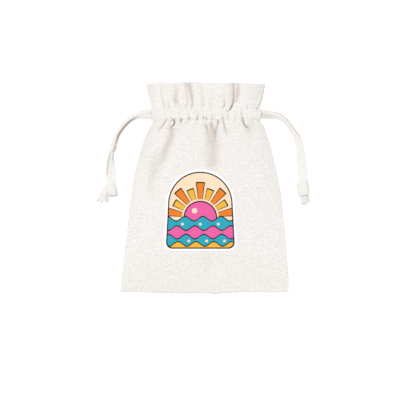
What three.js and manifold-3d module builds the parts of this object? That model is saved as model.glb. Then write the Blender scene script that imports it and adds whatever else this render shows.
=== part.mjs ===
// Kinchaku: a cotton-linen drawstring pouch, empty and lying on its back, with its neck half drawn in.
// Two cloth panels are sewn together at the sides and bottom. Each is folded over at the top into a ruffle
// and, between two stitch lines, a tunnel. Two tapes run round through both tunnels, one out of each side,
// and each has its two ends tied in one knot. A transfer film is pressed on the front.
// Millimetres: +X to the right of the front, +Y from the bottom seam to the mouth, +Z up from the surface.
import * as THREE from "three";
import { mergeVertices } from "three/addons/utils/BufferGeometryUtils.js";
import Module from "manifold-3d";

const wasm = await Module();
wasm.setup();

// Driving dimensions
const POUCH_WIDTH = 161; // along the bottom seam
const POUCH_LENGTH = 200; // bottom seam to rim
const NECK_WIDTH = 103; // drawn in, at the tunnels
const RIM_WIDTH = 113; // along the free edge of the ruffle
const RUFFLE_HEIGHT = 23.8; // upper stitch line to rim
const CLOTH = 0.9; // one layer of cloth
const TAPE_WIDTH = 4.2;
const TAPE_THICKNESS = 1.4;
const SLIP = 0.3; // clearance between pieces that lie together
const STITCH_MARGIN = 1.3; // cloth between a tunnel and its stitch line
const MOUTH_GAP = 6; // clear height between the front and back tunnels
const FRONT_GATHER = 3.4; // height of the folds at the front's stitch lines
const BACK_GATHER = 2.8;
const PUCKER = 0.8; // height of the small folds over a tunnel
const CREASE_WIDTH = 2.2; // half width of a crease where it starts
const CREASE_SPREAD = 16; // a crease is twice as wide this far from where it starts
const GATHER_FADE = 26; // the folds sink by a factor e over this distance down the body
const BODY_LOFT = 2.6; // how soon the front rises from the bottom seam: 1 is a plain slope
const SIDE_SLIT = 9; // how far above and below the tunnels the side edges stand apart
const TURN_OUT = 1.2; // a tape's straight stretch past the tunnel before it turns back
const STRAND_SHIFT = 1.3; // the two strands of a tape lie this far either side of their route
const KNOT_LENGTH = 14;
const KNOT_RADIUS = 6.2;
const KNOT_FLATNESS = 0.74; // height over width of a knot that lies on a table
const TAIL_LENGTH = 9; // tape past a knot
const LEFT_TAIL_LEAN = -8; // how far the tails drift sideways on the way
const RIGHT_TAIL_LEAN = 1;
const FILM = 0.4; // transfer film
const FILM_WIDTH = 70;
const FILM_HEIGHT = 78;
const FILM_CORNER = 7;
const FILM_CENTRE_X = -4.9;
const FILM_CENTRE_Y = -21.3;

// Sizes that follow from them
const HALF_NECK = NECK_WIDTH / 2;
const LANE = TAPE_WIDTH + SLIP; // spacing of the two tapes, side by side in a tunnel
const TUNNEL_WIDTH = 2 * LANE + SLIP;
const TUNNEL_HEIGHT = TAPE_THICKNESS + 2 * SLIP;
const CASING_HEIGHT = TUNNEL_WIDTH + 2 * STITCH_MARGIN;
const CASING_THICKNESS = TUNNEL_HEIGHT + 2 * CLOTH;
const HEM = 2 * CLOTH; // the cloth is doubled at the stitch lines and in the ruffle
const RIM_Y = POUCH_LENGTH / 2;
const BOTTOM_Y = -RIM_Y;
const UPPER_STITCH_Y = RIM_Y - RUFFLE_HEIGHT;
const LOWER_STITCH_Y = UPPER_STITCH_Y - CASING_HEIGHT;
const CASING_Y = (UPPER_STITCH_Y + LOWER_STITCH_Y) / 2;
const BODY_LENGTH = LOWER_STITCH_Y - BOTTOM_Y;
const BACK_CASING_TOP = PUCKER + CASING_THICKNESS;
const CASING_END_Z = BACK_CASING_TOP + SLIP; // underside of the front tunnel at the side edges
const NECK_CREST_Z = BACK_CASING_TOP + MOUTH_GAP; // and in the middle

// Creases of the front, from left to right. at: place on the neck, as a share of its half width. depth: 1 is
// a full fold. reach: how far the crease runs from its stitch line. lean: how far it drifts sideways.
const BODY_CREASES = [
  { at: -0.74, depth: 0.8, reach: 17, lean: -9 },
  { at: -0.61, depth: 1.3, reach: 66, lean: -22 },
  { at: -0.47, depth: 0.8, reach: 12, lean: 0 },
  { at: -0.32, depth: 0.7, reach: 10, lean: -2 },
  { at: -0.17, depth: 0.6, reach: 8, lean: 0 },
  { at: -0.03, depth: 0.6, reach: 8, lean: 0 },
  { at: 0.11, depth: 1.3, reach: 60, lean: 0 },
  { at: 0.23, depth: 0.7, reach: 12, lean: -2 },
  { at: 0.32, depth: 0.9, reach: 19, lean: 4 },
  { at: 0.49, depth: 0.5, reach: 9, lean: 0 },
  { at: 0.66, depth: 1.1, reach: 18, lean: 7 },
];
const RUFFLE_CREASES = [
  { at: -0.72, depth: 0.8, reach: 28, lean: -7 },
  { at: -0.52, depth: 0.8, reach: 34, lean: 0 },
  { at: -0.27, depth: 1.2, reach: 36, lean: -3 },
  { at: -0.06, depth: 0.7, reach: 26, lean: -2 },
  { at: 0.1, depth: 0.5, reach: 16, lean: 0 },
  { at: 0.29, depth: 0.7, reach: 14, lean: 3 },
  { at: 0.41, depth: 1.4, reach: 40, lean: 8 },
  { at: 0.7, depth: 0.5, reach: 24, lean: 3 },
];

// Routes of the loose tapes over the table, from the side of the neck, midway up the tunnels, to the knot
const LEFT_ROUTE = [
  [-6.7, -0.5], [-13.3, -1.6], [-19.4, -4.6], [-25, -9.5], [-29.4, -15], [-32.9, -20.8], [-34.8, -26],
  [-36.2, -31], [-37.8, -35.4], [-38.5, -40], [-38.7, -46], [-38.7, -52.8], [-38.4, -58.8], [-37.9, -62.8],
];
const RIGHT_ROUTE = [
  [6, 0], [11.6, -0.7], [16.3, -1.5], [20.7, -3.5], [25.1, -7.2], [28.7, -11.8], [32.2, -17.4], [35.2, -22.9],
  [37.1, -28.5], [38.3, -34.1], [39.1, -39.6], [39.8, -45.9], [40.5, -52.2], [41.1, -58], [41.7, -63],
];

const ease = (t) => {
  const s = Math.min(1, Math.max(0, t));
  return s * s * (3 - 2 * s);
};

// Solids
function solidOf(geometry) {
  const bare = geometry.index ? geometry.toNonIndexed() : geometry.clone();
  bare.deleteAttribute("normal");
  bare.deleteAttribute("uv");
  const merged = mergeVertices(bare, 1e-4);
  return new wasm.Manifold(
    new wasm.Mesh({
      numProp: 3,
      vertProperties: merged.attributes.position.array,
      triVerts: new Uint32Array(merged.index.array),
    }),
  );
}

function geometryOf(solid) {
  const mesh = solid.getMesh();
  const geometry = new THREE.BufferGeometry();
  geometry.setAttribute("position", new THREE.BufferAttribute(mesh.vertProperties, 3));
  geometry.setIndex(new THREE.BufferAttribute(mesh.triVerts, 1));
  geometry.computeVertexNormals();
  return geometry;
}

// A cloth sheet, lofted through rows of points across it. faces(u, row) gives the place across and the
// heights of the lower and upper face at u from -1 to 1. Each row has its own number of columns.
function sheetGeometry(rows, faces) {
  const points = [];
  const triangles = [];
  const lower = [];
  const upper = [];
  for (const row of rows) {
    const low = [];
    const high = [];
    for (let c = 0; c <= row.columns; c++) {
      const face = faces((2 * c) / row.columns - 1, row);
      low.push(points.push([face.x, row.y, face.low]) - 1);
      high.push(points.push([face.x, row.y, face.high]) - 1);
    }
    lower.push(low);
    upper.push(high);
  }
  const quad = (a, b, c, d) => triangles.push([a, b, c], [a, c, d]);
  const band = (near, far, facesUp) => {
    let i = 0;
    let j = 0;
    const lastNear = near.length - 1;
    const lastFar = far.length - 1;
    while (i < lastNear || j < lastFar) {
      const alongNear = j === lastFar || (i < lastNear && (i + 1) * lastFar <= (j + 1) * lastNear);
      const third = alongNear ? near[i + 1] : far[j + 1];
      triangles.push(facesUp ? [near[i], third, far[j]] : [near[i], far[j], third]);
      if (alongNear) i++;
      else j++;
    }
  };
  for (let r = 0; r + 1 < rows.length; r++) {
    band(upper[r], upper[r + 1], true);
    band(lower[r], lower[r + 1], false);
    quad(lower[r][0], upper[r][0], upper[r + 1][0], lower[r + 1][0]);
    quad(lower[r].at(-1), lower[r + 1].at(-1), upper[r + 1].at(-1), upper[r].at(-1));
  }
  const last = rows.length - 1;
  for (let c = 0; c < rows[0].columns; c++) {
    quad(lower[0][c], lower[0][c + 1], upper[0][c + 1], upper[0][c]);
  }
  for (let c = 0; c < rows[last].columns; c++) {
    quad(lower[last][c], upper[last][c], upper[last][c + 1], lower[last][c + 1]);
  }
  const geometry = new THREE.BufferGeometry();
  geometry.setAttribute("position", new THREE.Float32BufferAttribute(points.flat(), 3));
  geometry.setIndex(triangles.flat());
  return geometry;
}

// The pouch's outline: a taper from the bottom seam that pulls in late, a straight neck and a flared ruffle
function halfWidth(y) {
  if (y > UPPER_STITCH_Y) {
    return HALF_NECK + ((RIM_WIDTH / 2 - HALF_NECK) * (y - UPPER_STITCH_Y)) / RUFFLE_HEIGHT;
  }
  const t = Math.min(1, (y - BOTTOM_Y) / BODY_LENGTH);
  return POUCH_WIDTH / 2 - (POUCH_WIDTH / 2 - HALF_NECK) * (0.5 * t + 0.5 * t ** 5);
}

// How deep the cloth is creased at x, at a distance from the stitch line: 0 on a ridge, 1 in a full fold
function creased(creases, x, distance) {
  let sum = 0;
  for (const crease of creases) {
    const run = distance / crease.reach;
    if (run >= 1) continue;
    const centre = crease.at * HALF_NECK + crease.lean * run;
    const across = (x - centre) / (CREASE_WIDTH * (1 + distance / CREASE_SPREAD));
    sum += crease.depth * (1 - run * run) ** 2 * Math.exp(-across * across);
  }
  return Math.tanh(1.4 * sum);
}

// Rows of a panel from the bottom seam to the rim, closest together where the cloth is gathered
const BODY_ROWS = 15;
const RUFFLE_ROWS = 5;
function panelRows(neckColumns) {
  const rows = [];
  for (let k = BODY_ROWS; k >= 0; k--) {
    const distance = BODY_LENGTH * (k / BODY_ROWS) ** 1.8;
    const share = distance < 12 ? 1 : distance < 34 ? 0.75 : distance < 64 ? 0.5 : 0.3;
    const columns = 2 * Math.round((neckColumns * share) / 2);
    const thickness = k === 0 ? HEM : CLOTH;
    rows.push({ zone: "body", y: LOWER_STITCH_Y - distance, distance, columns, thickness });
  }
  for (const share of [0, 0.25, 0.5, 0.75, 1]) {
    const y = LOWER_STITCH_Y + STITCH_MARGIN + share * TUNNEL_WIDTH;
    rows.push({ zone: "casing", y, distance: 0, columns: neckColumns, thickness: CASING_THICKNESS });
  }
  for (let k = 0; k <= RUFFLE_ROWS; k++) {
    const distance = RUFFLE_HEIGHT * (k / RUFFLE_ROWS) ** 1.5;
    const y = UPPER_STITCH_Y + distance;
    rows.push({ zone: "ruffle", y, distance, columns: neckColumns, thickness: HEM });
  }
  return rows;
}

const crown = (u) => 1 - Math.abs(u) ** 3; // an arch across the pouch
const sideFade = (u) => 1 - u ** 8; // folds die out at the side edges

// Height of the gathers next to the stitch lines, as a share of their full height
function gatherShare(row) {
  if (row.zone === "body") return Math.exp(-row.distance / GATHER_FADE);
  return 1 - 0.3 * (row.distance / RUFFLE_HEIGHT);
}

// Vertical thickness of a sheet whose height across is given, so that it keeps its thickness on a slope
function onSlope(thickness, heightAt, x) {
  const step = 0.4;
  return thickness * Math.hypot(1, (heightAt(x + step) - heightAt(x - step)) / (2 * step));
}

// Underside of the front without its folds: it lies on the back at the edges and arches over the inside
function frontArch(u, row) {
  const lying = (row.zone === "ruffle" ? HEM : CLOTH) + SLIP;
  const edge = lying + (CASING_END_Z - lying) * Math.exp(-((row.distance / SIDE_SLIT) ** 2));
  const t = row.zone === "body" ? 1 - row.distance / BODY_LENGTH : 1;
  const crest = lying + (NECK_CREST_Z - lying) * (1 - (1 - t) ** BODY_LOFT);
  return edge + (Math.max(edge, crest) - edge) * crown(u);
}

function frontFaces(u, row) {
  const x = u * halfWidth(row.y);
  const creases = row.zone === "ruffle" ? RUFFLE_CREASES : BODY_CREASES;
  const arch = frontArch(u, row);
  if (row.zone === "casing") {
    const pucker = PUCKER * (1 - creased(creases, x, 0)) * sideFade(u);
    return { x, low: arch, high: arch + row.thickness + pucker };
  }
  const height = FRONT_GATHER * gatherShare(row) * sideFade(u);
  const foldAt = (at) => height * (1 - creased(creases, at, row.distance));
  const low = arch + foldAt(x);
  return { x, low, high: low + onSlope(row.thickness, foldAt, x) };
}

// The back lies flat on the table, and its gathers are creased up from below, mirrored left to right
function backFaces(u, row) {
  const x = u * halfWidth(row.y);
  const creases = row.zone === "ruffle" ? RUFFLE_CREASES : BODY_CREASES;
  if (row.zone === "casing") {
    return { x, low: PUCKER * creased(creases, -x, 0) * sideFade(u), high: PUCKER + row.thickness };
  }
  const height = BACK_GATHER * gatherShare(row) * sideFade(u);
  const foldAt = (at) => height * creased(creases, -at, row.distance);
  return { x, low: foldAt(x), high: foldAt(x) + onSlope(row.thickness, foldAt, x) };
}

// Middle of each tunnel, which the tapes follow
const casingRow = { zone: "casing", distance: 0 };
const frontTunnelZ = (u) => frontArch(u, casingRow) + CLOTH + TUNNEL_HEIGHT / 2;
const backTunnelZ = () => PUCKER + CLOTH + TUNNEL_HEIGHT / 2;

// A flat section with its corners taken off
function flatSection(thickness, width, corner) {
  const a = thickness / 2;
  const b = width / 2;
  return new THREE.Shape([
    new THREE.Vector2(a - corner, -b),
    new THREE.Vector2(a, -b + corner),
    new THREE.Vector2(a, b - corner),
    new THREE.Vector2(a - corner, b),
    new THREE.Vector2(-a + corner, b),
    new THREE.Vector2(-a, b - corner),
    new THREE.Vector2(-a, -b + corner),
    new THREE.Vector2(-a + corner, -b),
  ]);
}

const tapeSection = () => flatSection(TAPE_THICKNESS, TAPE_WIDTH, TAPE_THICKNESS * 0.3);

// A smooth route for a tape. Its steps follow its own points, so that a tight turn gets more of them, and the
// width of a section swept along it stays level.
class Route extends THREE.CatmullRomCurve3 {
  getUtoTmapping(u) {
    return u;
  }

  computeFrenetFrames(steps) {
    const frames = super.computeFrenetFrames(steps, false);
    for (let k = 0; k <= steps; k++) {
      const tangent = frames.tangents[k];
      const level = new THREE.Vector3(-tangent.y, tangent.x, 0);
      if (k > 0 && level.length() < 0.5) level.copy(frames.binormals[k - 1]).projectOnPlane(tangent);
      if (k > 0 && level.dot(frames.binormals[k - 1]) < 0) level.negate();
      frames.binormals[k].copy(level.normalize());
      frames.normals[k].crossVectors(level, tangent);
    }
    return frames;
  }
}

function sweep(section, points, stepsPerPoint) {
  const extrudePath = new Route(points);
  return new THREE.ExtrudeGeometry(section, { extrudePath, steps: (points.length - 1) * stepsPerPoint });
}

const TUNNEL_STATIONS = [-1, -0.75, -0.4, 0, 0.4, 0.75, 1];
const TUNNEL_OVERRUN = 1.15; // the cut runs on past the side edges

function tunnelCut(heightAt) {
  const points = TUNNEL_STATIONS.map((u) => new THREE.Vector3(u * HALF_NECK, CASING_Y, heightAt(u)));
  const run = HALF_NECK * (TUNNEL_OVERRUN - 1);
  points.unshift(points[0].clone().add(new THREE.Vector3(-run, 0, 0)));
  points.push(points.at(-1).clone().add(new THREE.Vector3(run, 0, 0)));
  return solidOf(sweep(flatSection(TUNNEL_HEIGHT, TUNNEL_WIDTH, 2 * SLIP), points, 2));
}

function panelGeometry(faces, columns, tunnelZ) {
  const sheet = solidOf(sheetGeometry(panelRows(columns), faces));
  return geometryOf(sheet.subtract(tunnelCut(tunnelZ)));
}

// Knots lie on the table at the end of each route, with the tapes coming in at mid height
const KNOT_Z = KNOT_RADIUS * KNOT_FLATNESS;
const UPPER_STRAND_Z = TAPE_THICKNESS * 1.5 + 2 * SLIP;
const LOWER_STRAND_Z = TAPE_THICKNESS * 0.5 + SLIP;

function neckSide(side) {
  return new THREE.Vector2(side * HALF_NECK, CASING_Y);
}

// How far a tape lies from the middle of the tunnels: lane is 1 for the upper tape, -1 for the lower one
const laneShift = (lane) => lane * (LANE / 2);

// Heading of a route where it reaches its knot
function headingOf(route) {
  const [x0, y0] = route.at(-2);
  const [x1, y1] = route.at(-1);
  return new THREE.Vector2(x1 - x0, y1 - y0).normalize();
}

// One strand of a loose tape, from the side of the neck to its knot. above is 1 for the upper strand, -1 for
// the lower one: they leave their tunnels apart and in their lane, then lie on each other, a little to each
// side of the route. The constants are shares of the way.
const SETTLING = 0.15; // coming together
const LANDING = 0.35; // coming down on the table
const RISING = 0.25; // going up into the knot
function strand(side, lane, route, above) {
  const exit = neckSide(side);
  const exitZ = above > 0 ? frontTunnelZ(side) : backTunnelZ();
  const lyingZ = above > 0 ? UPPER_STRAND_Z : LOWER_STRAND_Z;
  const knotZ = KNOT_Z + (above * (UPPER_STRAND_Z - LOWER_STRAND_Z)) / 2;
  return route.map(([dx, dy], k) => {
    const before = k > 0 ? route[k - 1] : [0, 0];
    const after = route[k + 1] ?? [2 * dx - before[0], 2 * dy - before[1]];
    const along = new THREE.Vector2(after[0] - before[0], after[1] - before[1]).normalize();
    const share = k / (route.length - 1);
    const settled = ease(share / SETTLING);
    const shift = above * STRAND_SHIFT * settled;
    const y = exit.y + dy + laneShift(lane) * (1 - settled);
    const leaving = 1 - ease(share / LANDING);
    const arriving = ease(1 - (1 - share) / RISING);
    const z = lyingZ + (exitZ - lyingZ) * leaving + (knotZ - lyingZ) * arriving;
    return new THREE.Vector3(exit.x + dx + along.y * shift, y - along.x * shift, z);
  });
}

// A whole drawstring: up one strand, through the front tunnel, round the far side, back through the back
// tunnel and down the other strand
const TURN_POINTS = 4;
function drawstringGeometry(side, lane, route) {
  const y = CASING_Y + laneShift(lane);
  const front = TUNNEL_STATIONS.map((u) => new THREE.Vector3(-side * u * HALF_NECK, y, frontTunnelZ(u)));
  const back = TUNNEL_STATIONS.map((u) => new THREE.Vector3(side * u * HALF_NECK, y, backTunnelZ()));
  const radius = (frontTunnelZ(1) - backTunnelZ()) / 2;
  const turn = [];
  for (let k = 0; k <= TURN_POINTS; k++) {
    const angle = (Math.PI * k) / TURN_POINTS;
    const x = -side * (HALF_NECK + TURN_OUT + radius * Math.sin(angle));
    turn.push(new THREE.Vector3(x, y, backTunnelZ() + radius * (1 + Math.cos(angle))));
  }
  const upper = strand(side, lane, route, 1).reverse();
  const lower = strand(side, lane, route, -1);
  return sweep(tapeSection(), [...upper, ...front, ...turn, ...back, ...lower], 1);
}

// An overhand knot with its two tails, along +X from where the tapes come in. The barrel is turned, then
// flattened, with one turn of the tape slung across it. The tails drift sideways by lean.
function knotGeometry(lean) {
  const end = KNOT_RADIUS * 0.55;
  const half = KNOT_LENGTH / 2;
  const profile = new THREE.SplineCurve([
    new THREE.Vector2(end, -half),
    new THREE.Vector2(KNOT_RADIUS * 0.92, -half * 0.6),
    new THREE.Vector2(KNOT_RADIUS * 0.86, 0),
    new THREE.Vector2(KNOT_RADIUS * 0.92, half * 0.6),
    new THREE.Vector2(end, half),
  ]).getPoints(6);
  const closed = [new THREE.Vector2(0, -half), ...profile, new THREE.Vector2(0, half)];
  const barrel = new THREE.LatheGeometry(closed, 12);
  barrel.rotateZ(-Math.PI / 2).translate(half, 0, 0);
  const sling = new THREE.TorusGeometry(KNOT_RADIUS * 0.8, KNOT_RADIUS * 0.26, 5, 14);
  sling.rotateY(Math.PI / 2).rotateZ(0.5).translate(half, 0, 0);
  let knot = solidOf(barrel).add(solidOf(sling)).scale([1, 1, KNOT_FLATNESS]);
  const lowest = knot.boundingBox().min[2];
  knot = knot.translate([0, 0, -lowest]);
  for (const hand of [-1, 1]) {
    const spread = hand * TAPE_WIDTH;
    const tail = [
      new THREE.Vector3(half, 0.2 * spread, KNOT_Z),
      new THREE.Vector3(KNOT_LENGTH, 0.45 * spread, KNOT_Z),
      new THREE.Vector3(KNOT_LENGTH + TAIL_LENGTH / 2, 0.65 * spread + 0.45 * lean, 0.6 * UPPER_STRAND_Z),
      new THREE.Vector3(KNOT_LENGTH + TAIL_LENGTH, 0.9 * spread + lean, LOWER_STRAND_Z),
    ];
    knot = knot.add(solidOf(sweep(tapeSection(), tail, 1)));
  }
  return geometryOf(knot);
}

// The transfer film follows the front a clearance above it, cut to a dome on a rounded base
function filmGeometry() {
  const rows = [];
  const filmRows = 8;
  for (let k = 0; k <= filmRows; k++) {
    const y = FILM_CENTRE_Y + (k / filmRows - 0.5) * (FILM_HEIGHT + 2 * FILM_CORNER);
    rows.push({ zone: "body", y, distance: LOWER_STITCH_Y - y, columns: 18, thickness: CLOTH });
  }
  const above = (u, row) => {
    const face = frontFaces(u, row);
    return { x: face.x, low: face.high + SLIP, high: face.high + SLIP + FILM };
  };
  const half = FILM_WIDTH / 2;
  const dome = half - 2;
  const outline = new THREE.Shape();
  const base = -FILM_HEIGHT / 2;
  const shoulder = FILM_HEIGHT / 2 - dome;
  outline.moveTo(-half + FILM_CORNER, base);
  outline.absarc(half - FILM_CORNER, base + FILM_CORNER, FILM_CORNER, -Math.PI / 2, 0);
  outline.absarc(0, shoulder, dome, 0, Math.PI);
  outline.absarc(-half + FILM_CORNER, base + FILM_CORNER, FILM_CORNER, Math.PI, 1.5 * Math.PI);
  const depth = 2 * NECK_CREST_Z;
  const punch = new THREE.ExtrudeGeometry(outline, { depth, bevelEnabled: false, curveSegments: 8 });
  punch.translate(FILM_CENTRE_X, FILM_CENTRE_Y, 0);
  return geometryOf(solidOf(sheetGeometry(rows, above)).intersect(solidOf(punch)));
}

// Materials
const CLOTH_LOOK = { color: 0xf4f1ee, roughness: 0.95, metalness: 0 };
const TAPE_LOOK = { color: 0xf5f2ed, roughness: 0.9, metalness: 0 };
const FILM_LOOK = { color: 0xffffff, roughness: 0.55, metalness: 0 };

// Assembly
const pouch = new THREE.Group();
function addPiece(name, geometry, look, parent = pouch) {
  const mesh = new THREE.Mesh(geometry, new THREE.MeshStandardMaterial(look));
  mesh.name = name;
  parent.add(mesh);
}

addPiece("front_panel", panelGeometry(frontFaces, 56, frontTunnelZ), CLOTH_LOOK);
addPiece("back_panel", panelGeometry(backFaces, 40, backTunnelZ), CLOTH_LOOK);
addPiece("transfer_film", filmGeometry(), FILM_LOOK);

function addDrawstring(name, side, lane, route, tailLean) {
  addPiece(`${name}_drawstring`, drawstringGeometry(side, lane, route), TAPE_LOOK);
  const [dx, dy] = route.at(-1);
  const heading = headingOf(route);
  const start = neckSide(side).add(new THREE.Vector2(dx, dy)).addScaledVector(heading, SLIP);
  const knot = new THREE.Group();
  knot.position.set(start.x, start.y, 0);
  knot.rotation.z = Math.atan2(heading.y, heading.x);
  addPiece(`${name}_knot`, knotGeometry(tailLean), TAPE_LOOK, knot);
  pouch.add(knot);
}
addDrawstring("left", -1, -1, LEFT_ROUTE, LEFT_TAIL_LEAN);
addDrawstring("right", 1, 1, RIGHT_ROUTE, RIGHT_TAIL_LEAN);

export default pouch;
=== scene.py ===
import math

import bpy
import numpy as np
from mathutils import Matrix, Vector
from mathutils.geometry import delaunay_2d_cdt


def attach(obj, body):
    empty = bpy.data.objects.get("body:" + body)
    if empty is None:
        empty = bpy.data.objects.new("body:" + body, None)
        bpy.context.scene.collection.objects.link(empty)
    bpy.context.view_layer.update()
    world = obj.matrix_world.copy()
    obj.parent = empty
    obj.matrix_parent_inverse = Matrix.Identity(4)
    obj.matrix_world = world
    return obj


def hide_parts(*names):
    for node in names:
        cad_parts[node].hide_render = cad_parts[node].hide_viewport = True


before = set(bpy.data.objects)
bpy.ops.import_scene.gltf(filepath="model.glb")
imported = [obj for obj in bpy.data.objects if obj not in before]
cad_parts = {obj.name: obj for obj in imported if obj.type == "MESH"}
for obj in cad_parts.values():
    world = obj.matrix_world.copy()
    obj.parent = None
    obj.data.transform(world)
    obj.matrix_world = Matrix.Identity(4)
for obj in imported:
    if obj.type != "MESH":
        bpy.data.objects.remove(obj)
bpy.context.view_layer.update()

# Cloth: the front and back panels are cut from off-white cotton-linen and sewn together at the sides and
# bottom. The top of each is folded inside and stitched along two lines, so that it makes a ruffle with a
# tunnel below it, and the drawn tapes gather the neck into folds.
MM = 0.001
POUCH_LENGTH = 200.0
HALF_BOTTOM = 80.5
HALF_NECK = 51.5
HALF_RIM = 56.5
RUFFLE_HEIGHT = 23.8
CASING_HEIGHT = 11.9
RIM_Y = POUCH_LENGTH / 2
BOTTOM_Y = -RIM_Y
UPPER_STITCH_Y = RIM_Y - RUFFLE_HEIGHT
LOWER_STITCH_Y = UPPER_STITCH_Y - CASING_HEIGHT
CASING_Y = (UPPER_STITCH_Y + LOWER_STITCH_Y) / 2
CLOTH = 0.5
# The folded top: how far apart its two layers lie, and how much further in the middle of the tunnel
RIM_FOLD = 0.9
TUNNEL_ROOM = 2.6
# Height of the front's inner side at the side seams, at the ends of its tunnel and along its crest at the
# neck, and how far from the tunnel its ends still hold the side seams up
SEAM_Z = 0.55
CASING_END_Z = 4.9
NECK_CREST_Z = 10.6
CASING_HOLD = 9.0
# Height of the ridges between the creases at the neck, where and how softly they start to fade down the
# body and over what length, and how much lower they get up the ruffle, over what length
GATHER = 3.8
FADE_START_Y = LOWER_STITCH_Y + 3
FADE_SOFTNESS = 9.0
FADE_LENGTH = 24.0
RUFFLE_DROP = 0.4
RUFFLE_DROP_LENGTH = 22.0
# Share of the ridges' height that is left at the side edges, and that the tunnel holds up there besides
EDGE_RIDGES = 0.15
HELD_RIDGES = 0.6
# Over the tapes the tunnel lets only a share of each crease in, down to a limit, and swells a little
CASING_CREASE_SHARE = 0.6
CASING_CREASE = 1.5
CASING_SWELL = 0.2
# How far each stitch line pulls the cloth in, and how far to both sides
STITCH_DIP = 0.08
STITCH_PULL = 1.1
# Soft unevenness of the lying front: length and height of its waves, and a number that sets their places
RIPPLES = [(34, 0.22, 0.6), (13, 0.1, 2.1)]
# The back is creased less than the front, since it lies on the table, and less again along its tunnel
BACK_CREASES = 0.75
BACK_CASING_LOSS = 0.7

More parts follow.
